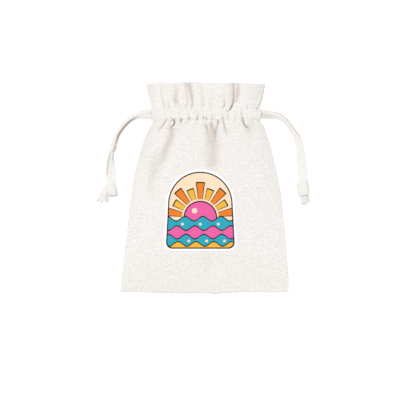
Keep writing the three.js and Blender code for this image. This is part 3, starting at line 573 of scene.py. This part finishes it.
# Where across the upper strand the painted slit shade shows: 1 at its left edge as the pair runs, -1 at
# its right one
SLIT_PLACES = {
    "left": [(0, 1.1), (0.675, 1.1), (0.71, -0.4), (0.8, -0.55), (1, -0.5)],
    "right": [(0, -0.9), (0.19, -0.9), (0.24, 0.55), (0.5, 0.6), (0.58, 0.9), (1, 1)],
}
# How dark the shade painted on the lower strand is, where the upper one keeps the light from it
UNDER_SHADES = {
    "left": [(0, 0), (0.17, 0), (0.2, 0.08), (0.26, 0.12), (0.31, 0.42), (0.36, 0.66), (0.55, 0.66),
             (0.59, 0.48), (0.617, 0.33), (0.645, 0.38), (0.675, 0.45), (0.7, 0.3), (0.74, 0.35), (0.81, 0),
             (1, 0)],
    "right": [(0, 0.24), (0.25, 0.22), (0.32, 0.06), (0.36, 0), (1, 0)],
}
# Width of the painted slit shade, as a share of half the tape
SLIT_WIDTH = 0.27


def along_way(share, stops):
    """Values between stops of (share of the way, value)."""
    return np.interp(share, *np.array(stops).T)


def smooth_line(points, step):
    """A smooth curve through the points, with a point about every step."""
    points = np.array(points, float)
    ends = np.concatenate([[2 * points[0] - points[1]], points, [2 * points[-1] - points[-2]]])
    line = []
    for k in range(1, len(ends) - 2):
        a, b, c, d = ends[k - 1 : k + 3]
        n = max(1, round(np.linalg.norm(c - b) / step))
        for t in np.arange(n) / n:
            bend = (2 * a - 5 * b + 4 * c - d) * t**2 + (3 * b - a - 3 * c + d) * t**3
            line.append(0.5 * (2 * b + (c - a) * t + bend))
    return np.array(line + [points[-1]])


def lengths(line):
    """Length along a line of points up to each of them."""
    return np.concatenate([[0], np.cumsum(np.linalg.norm(np.diff(line, axis=0), axis=1))])


def directions(line):
    """Direction of a line at each of its points."""
    tangent = np.gradient(line, axis=0)
    return tangent / np.linalg.norm(tangent, axis=1, keepdims=True)


def tape_section(width, thickness):
    """Half-round edges and a shallow groove down the middle of each face, as in a pressed tape."""
    a, b = width / 2, thickness / 2
    edge = [(a, 0), (a - 0.12 * b, 0.5 * b), (a - 0.6 * b, 0.93 * b), (a - 1.5 * b, b)]
    side = edge + [(0.3 * a, 0.96 * b), (0, 0.8 * b)]
    top = side + [(-x, y) for x, y in side[-2::-1]]
    return np.array(top + [(x, -y) for x, y in top[-2:0:-1]])


def tape_mesh(line, across, section, shade=0.0, spread=1.0, swell=1.0):
    """Points, faces, flat measures and painted shade of a tape swept along a line; across is the direction
    of its width at each point, and spread and swell how far its width and its thickness are opened there."""
    tangent = directions(line)
    across = across - tangent * np.sum(across * tangent, axis=1, keepdims=True)
    across /= np.linalg.norm(across, axis=1, keepdims=True)
    up = np.cross(tangent, across) * np.reshape(swell, (-1, 1))
    opened = across * np.reshape(spread, (-1, 1))
    rings = line[:, None] + section[None, :, :1] * opened[:, None] + section[None, :, 1:] * up[:, None]
    n, m = rings.shape[:2]
    index = np.arange(n * m).reshape(n, m)
    a, d = index[:-1], index[1:]
    b, c = np.roll(a, -1, axis=1), np.roll(d, -1, axis=1)
    faces = np.stack([a, b, c, d], axis=-1).reshape(-1, 4).tolist()
    caps = [index[0, ::-1].tolist(), index[-1].tolist()]
    measures = np.broadcast_arrays(lengths(section)[None, :], lengths(line)[:, None])
    flat = np.stack(measures, axis=-1).reshape(-1, 2)
    return rings.reshape(-1, 3), faces + caps, flat, np.broadcast_to(shade, (n, m)).ravel()


def joined_piece(name, parts, material):
    """One object from several parts, each of points, faces, flat measures in millimetres and painted shade.
    """
    faces = []
    start = 0
    for part_points, part_faces, _, _ in parts:
        faces += [[start + i for i in face] for face in part_faces]
        start += len(part_points)
    points, flat, shade = (np.concatenate([part[k] for part in parts]) for k in (0, 2, 3))
    mesh = bpy.data.meshes.new(name)
    mesh.from_pydata((points * MM).tolist(), [], faces)
    mesh.polygons.foreach_set("use_smooth", [len(face) == 4 for face in faces])
    corners = np.zeros(len(mesh.loops), int)
    mesh.loops.foreach_get("vertex_index", corners)
    mesh.uv_layers.new(name="flat_cloth").data.foreach_set("uv", (flat[corners] * MM).ravel())
    mesh.attributes.new("painted_shade", "FLOAT", "POINT").data.foreach_set("value", shade)
    mesh.materials.append(material)
    piece = bpy.data.objects.new(name, mesh)
    bpy.context.collection.objects.link(piece)
    return piece


# Cotton tape, woven flat of finer yarn than the cloth: the same matt off-white, but smoother. Its threads
# too are drawn coarser than the real ones, so that they show.
cotton_tape = woven_cloth("cotton_tape", "#F9F6F3", "#F0ECE8", thread=0.5, slub=0.9, bump=0.3)
section = tape_section(TAPE_WIDTH, TAPE_THICKNESS)
UPWARD = np.array([0.0, 0.0, 1.0])
strands = {}
knot_starts = {}
for name, side in (("left", -1), ("right", 1)):
    exit_x = side * HALF_NECK
    lane_y = CASING_Y + side * LANE / 2
    # The loose pair of strands, from a little way inside the tunnels
    route = [
        (exit_x - side * STRAND_START, lane_y, 0),
        (exit_x - side * LANE_END, lane_y, 0),
        (exit_x - side * PAIR_START, CASING_Y + PAIR_RISE, 0),
        (exit_x, CASING_Y + PAIR_RISE, 0),
    ]
    route += [(exit_x + dx, CASING_Y + dy, 0) for dx, dy in ROUTES[name]]
    into_knot = np.subtract(route[-1], route[-2]) / np.linalg.norm(np.subtract(route[-1], route[-2]))
    route.append(tuple(route[-1] + INTO_KNOT * into_knot))
    middle = smooth_line(route, 0.8)
    way = lengths(middle)
    share = way / way[-1]
    # Directions across the tapes and from the lower strand to the upper one, as the pair rolls over
    roll = np.radians(along_way(share, ROLLS[name]))
    roll = np.convolve(np.pad(roll, 3, mode="edge"), np.ones(7) / 7, mode="valid")
    heading = directions(middle)
    level = np.stack([-heading[:, 1], heading[:, 0], np.zeros(len(middle))], axis=1)
    across = level * np.cos(roll)[:, None] + UPWARD * np.sin(roll)[:, None]
    stacked = -level * np.sin(roll)[:, None] + UPWARD * np.cos(roll)[:, None]
    # Heights: each strand leaves its own tunnel, the pair comes down to the table and rises again into the
    # knot. Strands that lie side by side settle closer to one height
    in_tunnel = 1 - ease((way - JOIN_START) / JOIN_LENGTH)
    lifted = 1 - ease((way - DESCENT_START) / DESCENT_LENGTH)
    arriving = ease((share - RISE_START) / (1 - RISE_START))
    in_neck = np.clip(middle[:, 0] / HALF_NECK, -1, 1)
    inside_front = arch(in_neck, np.full(len(middle), CASING_Y)) + FRONT_TAPE_Z
    shift = along_way(share, SHIFTS[name])
    drift = along_way(share, DRIFTS[name])
    beside = np.clip((shift - SETTLING_START) / SETTLING_LENGTH, 0, 1)
    settled = TAPE_THICKNESS * (STACKED - SETTLING * beside)
    lying = TABLE_CLEARANCE + (TAPE_WIDTH / 2 + shift) * np.abs(np.sin(roll))
    lying = lying + (TAPE_THICKNESS / 2 + settled) * np.cos(roll)
    mouth = BACK_TAPE_Z + (inside_front - BACK_TAPE_Z) * (MOUTH_SHARE - MOUTH_DROP * in_tunnel)
    middle[:, 2] = lying + (mouth - lying) * lifted + (KNOT_Z - lying) * arriving
    apart = settled + ((inside_front - BACK_TAPE_Z) / 2 - settled) * in_tunnel
    # Painted shade of the slit on the upper strand and of all of the lower one, and how wide both lie open
    slit_place = along_way(share, SLIT_PLACES[name])[:, None]
    slit_shade_mask = np.exp(-(((section[:, 0] / TAPE_WIDTH * 2 - slit_place) / SLIT_WIDTH) ** 2))
    shades = {
        "upper": along_way(share, SLIT_SHADES[name])[:, None] * slit_shade_mask,
        "lower": along_way(share, UNDER_SHADES[name])[:, None],
    }
    spread = 1 + OPENING * ease((share - OPENING_START) / OPENING_LENGTH)
    for which, above in (("upper", 1), ("lower", -1)):
        aside = side * (above * shift + drift)
        line = middle + stacked * (above * apart)[:, None] + across * aside[:, None]
        tape = tape_mesh(line, across, section, shades[which], spread)
        strand = joined_piece(f"{name}_strand_{which}", [tape], cotton_tape)
        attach(strand, "root")
        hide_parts(f"{name}_drawstring")
        strands[name, which] = (strand, line)
    knot_starts[name] = (np.array(route[-2]), into_knot)
    # The stretch that the tunnels hold, round the far side and back
    run = np.linspace(exit_x - side * (STRAND_START + STRAND_GAP), -side * (HALF_NECK - TURN_INSET), 9)
    inner_side = arch(run / HALF_NECK, np.full(len(run), CASING_Y))
    front_run = [(x, lane_y, z + FRONT_TAPE_Z) for x, z in zip(run, inner_side)]
    back_run = [(x, lane_y, BACK_TAPE_Z) for x in run[::-1]]
    radius = (front_run[-1][2] - BACK_TAPE_Z) / 2
    turn_x = HALF_NECK - TURN_INSET + TURN_START
    turn = [
        (-side * (turn_x + TURN_REACH * math.sin(a)), lane_y, BACK_TAPE_Z + radius * (1 + math.cos(a)))
        for a in np.linspace(0, math.pi, 9)
    ]
    held = smooth_line(front_run + turn + back_run, 1.0)
    widths = np.tile([0.0, 1.0, 0.0], (len(held), 1))
    loop = joined_piece(f"{name}_loop", [tape_mesh(held, widths, section)], cotton_tape)
    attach(loop, "root")
    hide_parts(f"{name}_drawstring")

# Knots: the two ends of each tape are tied together in one overhand knot of the same cotton tape, pulled
# tight, and the cut tails past it are left to fray into loose threads.
KNOT_LENGTH = 14.0
# Shift of each knot's middle from half its length past the tapes' way: (ahead, to the left in the picture)
KNOT_SHIFTS = {"left": (2.4, 1.2), "right": (1.1, 1.3)}
# The turns of tape that show on each knot: how wide the tape is bunched, the angle round the knot's axis at
# its start and end in degrees, its places along the knot and its radii to the side and up
TURNS = {
    "left": [(6.8, (215, -130), (-1.8, -2.8, -2.4, -1.2), [(2.9, 2.3), (3.3, 2.6), (3.1, 2.4)]),
             (8.2, (150, -200), (0.2, -0.2, 1.2, 2.6, 2.4),
              [(3.4, 2.5), (3.9, 3.0), (4.1, 3.1), (3.8, 2.7)])],
    "right": [(8.2, (200, -160), (-1.8, -2.4, -2.8, -2.6), [(3.6, 2.4), (4.2, 2.9), (4.1, 2.8)]),
              (8.6, (160, -190), (2.8, 2.6, 2.0, 1.6, 1.8),
               [(3.8, 2.6), (4.3, 3.1), (4.4, 3.1), (4.0, 2.8)])],
}
# A bunched turn: its thickness, the number and height of its pleats, and the shade painted on the knot's
# right flank
BUNCH_THICKNESS = 3.0
PLEATS = 7
PLEAT_HEIGHT = 0.05
FLANK_SHADE = 0.22
# Bunched tape that fills the middle of each knot: half its length, its width and its height
CORE_REACH = 5.6
CORE_SECTION = (5.4, 4.0)
# Each tail: how wide it lies open, how far it is twisted in degrees, and its way from the middle of the
# knot as (ahead, to the left in the picture)
TAILS = {
    "left": [(6.3, 8, [(-3, 3.2), (0.6, 6.4), (4.6, 9.6), (8.4, 12.2)]),
             (4.2, 50, [(0, 1.5), (4, 3.6), (6.4, 4.6), (8.6, 5.6)])],
    "right": [(5.9, 4, [(1, -0.2), (6, 0.2), (10.5, 0.4), (13.6, 0.7)]),
              (4.2, 45, [(1, -2), (5, -3.3), (8.6, -3.1), (11, -3.9)])],
}
# Frayed threads of each tail: their number, thickness, usual reach past the cut end and start before it,
# the share of the tail's width that they take up, how far their reaches scatter, how far they fan out,
# lean, bend and rise, and the height of the lowest tip
FRAYS = 13
FRAY = 0.45
FRAY_REACH = 2.6
FRAY_START = 1.2
FRAY_SHARE = 0.9
FRAY_SCATTER = 1.5
FRAY_FAN = 1.8
FRAY_LEAN = 0.7
FRAY_BEND = 0.5
FRAY_RISE = 0.3
FRAY_TIP_Z = 0.4


def wrap(origin, ahead, aside, width, angles, shifts, radii):
    """A turn of bunched tape laid round the knot, with shade painted on the right of the knot in the
    picture.
    """
    share = np.linspace(0, 1, 64)
    turns = np.radians(np.interp(share, [0, 1], angles))
    shift = np.interp(share, np.linspace(0, 1, len(shifts)), shifts)
    swell, rise = (np.interp(share, np.linspace(0, 1, len(radii)), [r[k] for r in radii]) for k in (0, 1))
    line = origin + ahead * shift[:, None] + aside * (swell * np.sin(turns))[:, None]
    line += UPWARD * (rise * np.cos(turns))[:, None]
    outward = aside * np.sin(turns)[:, None] + UPWARD * np.cos(turns)[:, None]
    # Shade painted on the knot's right flank
    shade = FLANK_SHADE * ease(-2.5 * np.sin(turns) - 1.4)
    around = np.linspace(0, 2 * math.pi, 28, endpoint=False)
    pleats = 1 + PLEAT_HEIGHT * np.cos(PLEATS * around)
    wide = width / 2 * np.cos(around) * pleats
    thick = BUNCH_THICKNESS / 2 * np.sin(around) * pleats
    bunched = np.stack([wide, thick], axis=1)
    return tape_mesh(line, np.cross(outward, np.gradient(line, axis=0)), bunched, shade[:, None])


def thread_section(diameter, sides):
    turns = np.linspace(0, 2 * math.pi, sides, endpoint=False)
    return np.stack([np.cos(turns), np.sin(turns)], axis=1) * diameter / 2


for name, side in (("left", -1), ("right", 1)):
    start, ahead = knot_starts[name]
    ahead = np.array([ahead[0], ahead[1], 0]) / np.hypot(ahead[0], ahead[1])
    aside = np.array([ahead[1], -ahead[0], 0])
    lead, drift = KNOT_SHIFTS[name]
    origin = np.array([start[0], start[1], KNOT_Z]) + ahead * (KNOT_LENGTH / 2 + lead) + aside * drift
    parts = [wrap(origin, ahead, aside, *turn) for turn in TURNS[name]]
    along = np.sin(np.linspace(-math.pi / 2, math.pi / 2, 13))
    rounding = np.sqrt(1.02 - along**2)
    core_line = origin + ahead * (CORE_REACH * along)[:, None]
    core_section = thread_section(1.0, 18) * CORE_SECTION
    parts.append(tape_mesh(core_line, np.tile(aside, (13, 1)), core_section, 0.0, rounding, rounding))
    for number, (width, twist, tail) in enumerate(TAILS[name]):
        # A tail comes down from the knot to the table, and a twisted one stands higher at its end
        heights = [KNOT_Z + 0.9, KNOT_Z + 0.2, 2.6, 1.0 + 0.02 * twist]
        points = [(*(origin + ahead * a + aside * b)[:2], h) for (a, b), h in zip(tail, heights)]
        line = smooth_line(points, 0.8)
        direction = directions(line)
        level = np.stack([-direction[:, 1], direction[:, 0], 0 * direction[:, 0]], axis=1)
        over = np.radians(twist)
        widths = level * math.cos(over) + np.array([0, 0, math.sin(over)])
        parts.append(tape_mesh(line, widths, tape_section(width, TAPE_THICKNESS)))
        # The cut end frays: each thread has its own reach, lean and bend, scattered by sines of its number
        end, onward, outward = line[-1], direction[-1], widths[-1]
        for k in range(FRAYS):
            out = k / (FRAYS - 1) - 0.5
            reach = FRAY_REACH + FRAY_SCATTER * math.sin(7.3 * k + 2.1 * number + side)
            root = end - onward * FRAY_START + outward * out * FRAY_SHARE * width
            lean = FRAY_FAN * out + FRAY_LEAN * math.sin(3.1 * k)
            tip = root + onward * (reach + FRAY_START) + outward * lean
            bend = (root + tip) / 2 + outward * FRAY_BEND * math.sin(5.7 * k + number)
            root[2] = end[2]
            bend[2] = end[2] + FRAY_RISE * math.sin(2.3 * k)
            tip[2] = FRAY_TIP_Z + FRAY_RISE * (k % 3)
            thread = smooth_line([root, bend, tip], 0.7)
            parts.append(tape_mesh(thread, np.tile(outward, (len(thread), 1)), thread_section(FRAY, 5)))
    knot = joined_piece(f"{name}_tied_knot", parts, cotton_tape)
    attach(knot, "root")
    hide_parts(f"{name}_knot")
    for which in ("upper", "lower"):
        strand, line = strands[name, which]

# Stitches: off-white sewing thread, sewn by machine through the folded top of each panel along two lines,
# which holds the facing down and makes the tunnel.
STITCH_LENGTH = 2.4
STITCH_PITCH = 3.2
THREAD = 0.4
# How far the rows stop before the side seams, and the rise of a stitch over the cloth from end to end
STITCH_MARGIN = 3.0
STITCH_RISE = [-0.25, 0.08, 0.14, 0.08, -0.25]


def stitch_row(outer_height, outward, y):
    """Short thread bridges along one stitch line, each bent down into the cloth at both ends."""
    parts = []
    reach = HALF_NECK - STITCH_MARGIN
    for x in np.arange(-reach, reach, STITCH_PITCH):
        xs = np.linspace(x, x + STITCH_LENGTH, len(STITCH_RISE))
        ys = np.full(len(xs), y)
        line = np.stack([xs, ys, outer_height(xs, ys) + np.array(STITCH_RISE) * outward], axis=1)
        parts.append(tape_mesh(line, np.tile([0.0, 1.0, 0.0], (len(xs), 1)), thread_section(THREAD, 6)))
    return parts


# Spun sewing thread: matt and as light as the cloth, so that a stitch shows only by its small shadow
sewing_thread = woven_cloth("sewing_thread", "#F9F6F3", "#F1EDE9", thread=0.4, slub=0.6, bump=0.1)
rows = stitch_row(front_top, 1, UPPER_STITCH_Y) + stitch_row(front_top, 1, LOWER_STITCH_Y)
rows += stitch_row(back_bottom, -1, UPPER_STITCH_Y) + stitch_row(back_bottom, -1, LOWER_STITCH_Y)
stitching = joined_piece("casing_stitches", rows, sewing_thread)
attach(stitching, "root")

# Printed film: a thin white film pressed onto the front, domed at the top, with a flat-colour print of a
# sun with rays over bands of waves; the fields meet in black lines and a white border is left round them.
FILM_CENTRE = (-4.9, -21.3)
FILM_HALF_WIDTH = 35.0
FILM_HALF_HEIGHT = 39.0
FILM_CORNER = 7.0
DOME_RADIUS = FILM_HALF_WIDTH - 2
DOME_Y = FILM_HALF_HEIGHT - DOME_RADIUS
FILM = 0.12
FILM_GAP = 0.06
# Spacing of the film's points, close enough for it to follow the cloth
FILM_STEP = 2.0
BORDER = 2.4
LINE = 1.2
SUN_Y = -7.0
SUN_RADIUS = 16.0
# Light spot on the sun: its place from the sun's middle and its radius
SPOT = (-5.5, 6.5)
SPOT_RADIUS = 2.6
# Rays of the sun: their number, where they start, where the long and short ones end, and their half angles
# in degrees with and without the black line
RAYS = 9
RAY_START = 17.5
RAY_ENDS = (34.0, 29.0)
RAY_SPREAD = 7.6
RAY_FILL_SPREAD = 6.0
# Waves: their height and length, and each band's height, place along the wave and ink
WAVE_HEIGHT = 2.2
WAVE_LENGTH = 17.0
WAVES = [(-8, 0.1, "teal"), (-17, 0.55, "pink"), (-25, 0.05, "teal"), (-32, 0.5, "yellow")]
# Bubbles on the upper teal band and on the lower one
BUBBLE_RADIUS = 1.3
BUBBLES = [(x + dx, y) for x in (-21, -4, 13) for dx, y in ((4, -13.2), (10, -29.2))]
INKS = {"white": "#FFFFFF", "black": "#2A2523", "cream": "#FBE3C4", "pink": "#EF64A6", "orange": "#F2842C",
        "yellow": "#F8B93E", "teal": "#2FA9BF"}


def arc(x, y, radius, first, last, count):
    turns = np.radians(np.linspace(first, last, count))
    return [(x + radius * math.cos(a), y + radius * math.sin(a)) for a in turns]


def disc(x, y, radius, count):
    return arc(x, y, radius, 0, 360, count)[:-1]


def badge(inset):
    """Outline of the film or, set in, of the print on it."""
    side, foot, corner = FILM_HALF_WIDTH - inset, -FILM_HALF_HEIGHT + inset, FILM_CORNER - inset * 0.5
    outline = arc(0, DOME_Y, DOME_RADIUS - inset, 0, 180, 49)
    outline += arc(-side + corner, foot + corner, corner, 180, 270, 9)
    return outline + arc(side - corner, foot + corner, corner, 270, 360, 9)


def ray(angle, spread, end):
    """One ray of the sun, a little wider at its end."""
    near = arc(0, SUN_Y, RAY_START, angle - spread, angle + spread, 4)
    return near + arc(0, SUN_Y, end, angle + spread, angle - spread, 4)


def below_wave(y, phase):
    """All of the print below a wavy line."""
    reach = FILM_HALF_WIDTH - (BORDER + LINE) - 0.4
    xs = np.linspace(reach, -reach, 61)
    crest = [(x, y + WAVE_HEIGHT * math.sin(2 * math.pi * (x / WAVE_LENGTH + phase))) for x in xs]
    return crest + [(-FILM_HALF_WIDTH, -FILM_HALF_HEIGHT - 1), (FILM_HALF_WIDTH, -FILM_HALF_HEIGHT - 1)]


# Fields of the print as (ink, outline), each laid over the ones before it
fields = [("white", badge(0)), ("black", badge(BORDER)), ("cream", badge(BORDER + LINE))]
for k in range(RAYS):
    angle = (k + 0.5) * 180 / RAYS
    fields.append(("black", ray(angle, RAY_SPREAD, RAY_ENDS[k % 2])))
    fields.append((("orange", "yellow")[k % 2], ray(angle, RAY_FILL_SPREAD, RAY_ENDS[k % 2] - LINE)))
fields += [("black", disc(0, SUN_Y, SUN_RADIUS, 64)), ("pink", disc(0, SUN_Y, SUN_RADIUS - LINE, 64))]
fields += [("cream", disc(SPOT[0], SUN_Y + SPOT[1], SPOT_RADIUS, 24))]
for y, phase, ink in WAVES:
    fields.append(("black", below_wave(y + LINE / 2, phase)))
    fields.append((ink, below_wave(y - LINE / 2, phase)))
fields += [("cream", disc(x, y, BUBBLE_RADIUS, 20)) for x, y in BUBBLES]


def inside(points, outline):
    """Which of the points lie within a closed outline."""
    x, y = points[:, :1], points[:, 1:]
    ends = np.array(outline)
    nexts = np.roll(ends, -1, axis=0)
    crossing = (ends[:, 1] > y) != (nexts[:, 1] > y)
    rise = np.where(nexts[:, 1] == ends[:, 1], 1, nexts[:, 1] - ends[:, 1])
    meets = ends[:, 0] + (y - ends[:, 1]) * (nexts[:, 0] - ends[:, 0]) / rise
    return np.count_nonzero(crossing & (x < meets), axis=1) % 2 == 1


def stepped(outline, step):
    """The same outline with a point at least every step, so that straight sides follow the cloth too."""
    points = []
    for a, b in zip(outline, outline[1:] + outline[:1]):
        n = math.ceil(math.dist(a, b) / step)
        points += [(a[0] + (b[0] - a[0]) * k / n, a[1] + (b[1] - a[1]) * k / n) for k in range(n)]
    return points


# The flat film is cut into triangles along all outlines, and each triangle takes the ink of its field
flat_points = []
flat_edges = []
for outline in [stepped(outline, FILM_STEP) for _, outline in fields]:
    first = len(flat_points)
    flat_points += outline
    flat_edges += [(first + k, first + (k + 1) % len(outline)) for k in range(len(outline))]
film_xs = np.arange(1 - FILM_HALF_WIDTH, FILM_HALF_WIDTH, FILM_STEP)
film_ys = np.arange(1 - FILM_HALF_HEIGHT, FILM_HALF_HEIGHT, FILM_STEP)
flat_points += [(x, y) for x in film_xs for y in film_ys]
cut_points, _, cut_faces, *_ = delaunay_2d_cdt([Vector(q) for q in flat_points], flat_edges, [], 0, 1e-4)
places = np.array([tuple(v) for v in cut_points])
middles = np.array([places[list(face)].mean(axis=0) for face in cut_faces])
on_film, inked, coloured = (inside(middles, badge(inset)) for inset in (0, BORDER, BORDER + LINE))
inks = np.zeros(len(middles), int)
for ink, outline in fields:
    inks[inside(middles, outline) & (inked if ink == "black" else coloured)] = list(INKS).index(ink)
film_cuts = [list(face) for face, kept in zip(cut_faces, on_film) if kept]
used = sorted({i for face in film_cuts for i in face})
film_index = {old: new for new, old in enumerate(used)}

# It is then laid over the cloth, and closed with its underside and its cut edge
film_xy = places[used] + FILM_CENTRE
film_z = front_top(film_xy[:, 0], film_xy[:, 1]) + FILM_GAP
film_top = np.column_stack([film_xy, film_z + FILM])
film_under = np.column_stack([film_xy, film_z])
count = len(used)
top_faces = [[film_index[i] for i in face] for face in film_cuts]
under_faces = [[i + count for i in face[::-1]] for face in top_faces]
sides = [(i, j) for face in top_faces for i, j in zip(face, face[1:] + face[:1])]
shared = set(sides)
edge_faces = [[j, i, i + count, j + count] for i, j in sides if (j, i) not in shared]
film_faces = top_faces + under_faces + edge_faces
film_inks = inks[on_film].tolist() + [0] * (len(film_faces) - len(top_faces))
film_mesh = bpy.data.meshes.new("print_film")
film_mesh.from_pydata((np.concatenate([film_top, film_under]) * MM).tolist(), [], film_faces)
film_mesh.polygons.foreach_set("use_smooth", [len(face) == 3 for face in film_faces])
film_mesh.polygons.foreach_set("material_index", film_inks)
corners = np.zeros(len(film_mesh.loops), int)
film_mesh.loops.foreach_get("vertex_index", corners)
film_uv = np.tile(film_xy, (2, 1))[corners] * MM
film_mesh.uv_layers.new(name="flat_cloth").data.foreach_set("uv", film_uv.ravel())
# Transfer film, printed in flat inks and pressed on hot: matt and even, with a trace of the weave
for ink, colour in INKS.items():
    inked_film = woven_cloth(f"printed_film_{ink}", colour, colour, thread=0.7, slub=0.9, bump=0.12)
    film_mesh.materials.append(inked_film)
print_film = bpy.data.objects.new("print_film", film_mesh)
bpy.context.collection.objects.link(print_film)
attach(print_film, "root")
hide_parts("transfer_film")

# Studio: the pouch lies on a wide white table under soft light from the upper left, and is seen from
# straight above. Sizes are in metres.
TABLE_HALF = 3.0
TABLE_Z = -0.00035
TABLE_GLOW = 0.45
SKY_STRENGTH = 0.645
KEY_STRENGTH = 1.27
KEY_SPREAD = 26
KEY_DIRECTION = (0.1, -0.24, -1.0)
CAMERA_HEIGHT = 1.6
SENSOR_WIDTH = 36
# The picture is this many pixels wide, at a scale that holds at the height of the pouch's middle, and shows
# the middle of the pouch in this column and its rim in this row
PICTURE = 400
MM_PER_PIXEL = 0.951
SCALE_Z = 0.006
MIDDLE_COLUMN = 205.5
RIM_ROW = 82.7

table_corners = [(x * TABLE_HALF, y * TABLE_HALF, TABLE_Z) for x, y in ((-1, -1), (1, -1), (1, 1), (-1, 1))]
table_mesh = bpy.data.meshes.new("table")
table_mesh.from_pydata(table_corners, [], [(0, 1, 2, 3)])
table = bpy.data.objects.new("table", table_mesh)
bpy.context.collection.objects.link(table)
# Matt white card: it glows a little for the camera alone, so that it shows as white as a lit backdrop
white_table = bpy.data.materials.new("white_table")
white_table.use_nodes = True
table_shader = white_table.node_tree.nodes["Principled BSDF"]
table_shader.inputs["Base Color"].default_value = linear("#F4F4F4")
table_shader.inputs["Roughness"].default_value = 0.9
table_shader.inputs["Specular IOR Level"].default_value = 0.0
rays = add_node(white_table, "ShaderNodeLightPath")
mirrored = add_node(white_table, "ShaderNodeMath",
                    {0: rays.outputs["Is Glossy Ray"], 1: rays.outputs["Is Transmission Ray"]},
                    operation="ADD")
seen = add_node(white_table, "ShaderNodeMath",
                {0: rays.outputs["Is Camera Ray"], 1: mirrored.outputs[0]}, operation="ADD", use_clamp=True)
shown = add_node(white_table, "ShaderNodeMath", {0: seen.outputs[0], 1: TABLE_GLOW}, operation="MULTIPLY")
white_table.node_tree.links.new(shown.outputs[0], table_shader.inputs["Emission Strength"])
table_shader.inputs["Emission Color"].default_value = (1, 1, 1, 1)
table_mesh.materials.append(white_table)

world = bpy.data.worlds.new("studio")
bpy.context.scene.world = world
world.use_nodes = True
world.node_tree.nodes["Background"].inputs["Color"].default_value = (1, 1, 1, 1)
world.node_tree.nodes["Background"].inputs["Strength"].default_value = SKY_STRENGTH
key = bpy.data.lights.new("key", "SUN")
key.energy = KEY_STRENGTH
key.angle = math.radians(KEY_SPREAD)
key_light = bpy.data.objects.new("key", key)
key_light.rotation_euler = Vector(KEY_DIRECTION).to_track_quat("-Z", "Y").to_euler()
bpy.context.collection.objects.link(key_light)

bpy.context.scene.view_settings.view_transform = "Standard"
camera_data = bpy.data.cameras.new("camera")
camera_data.sensor_fit = "HORIZONTAL"
camera_data.lens = SENSOR_WIDTH * (CAMERA_HEIGHT - SCALE_Z) / (PICTURE * MM_PER_PIXEL * MM)
camera = bpy.data.objects.new("camera", camera_data)
camera_x = (PICTURE / 2 - MIDDLE_COLUMN) * MM_PER_PIXEL
camera_y = RIM_Y - (PICTURE / 2 - RIM_ROW) * MM_PER_PIXEL
camera.location = (camera_x * MM, camera_y * MM, CAMERA_HEIGHT)
bpy.context.collection.objects.link(camera)
bpy.context.scene.camera = camera
